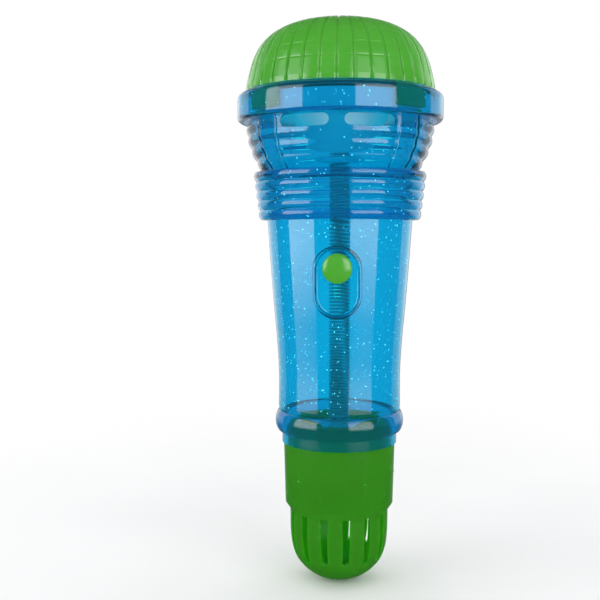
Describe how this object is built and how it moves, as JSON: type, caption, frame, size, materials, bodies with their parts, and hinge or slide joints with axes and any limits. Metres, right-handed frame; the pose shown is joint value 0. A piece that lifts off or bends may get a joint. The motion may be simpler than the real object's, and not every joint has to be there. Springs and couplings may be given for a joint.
{
  "type": "toy echo microphone",
  "caption": "Hollow hand-held toy microphone with a ribbed dome, ringed collar, slide knob and vented end cap; a long inner spring gives the voice an echo.",
  "frame": {"origin": "centre of the bounding box, on the long axis halfway between the crown of the dome and the tip of the cap", "axes": "+Z along the long axis towards the dome, -Y towards the switch knob, +X to the right of someone facing the knob"},
  "size_m": [0.0924, 0.0924, 0.254],
  "materials": {
    "green_plastic": "semi-gloss moulded plastic",
    "clear_blue_plastic": "clear tinted glossy plastic with glitter flakes",
    "pale_plastic": "thin glossy plastic",
    "spring_steel": "drawn spring wire"
  },
  "bodies": {
    "housing": {"grille_dome": "green_plastic", "rim_ring": "clear_blue_plastic", "head_shell": "clear_blue_plastic", "barrel": "clear_blue_plastic", "butt_cap": "green_plastic", "diaphragm_ring": "pale_plastic", "anchor_spider": "pale_plastic", "bottom_peg": "pale_plastic"},
    "switch": {"switch_knob": "green_plastic", "switch_shoe": "green_plastic"},
    "diaphragm": {"diaphragm": "pale_plastic", "top_peg": "pale_plastic", "echo_spring": "spring_steel"}
  },
  "joints": [
    {"name": "switch_slide", "type": "slide", "parent": "housing", "child": "switch", "axis": [0, 0.0775, -0.997], "range_m": [0, 0.0122]},
    {"name": "diaphragm_throb", "type": "slide", "parent": "housing", "child": "diaphragm", "axis": [0, 0, 1], "range_m": [-0.0007, 0.0005], "stiffness_N_per_m": 400, "springref_m": 0.0002, "deforming": ["echo_spring"]}
  ]
}
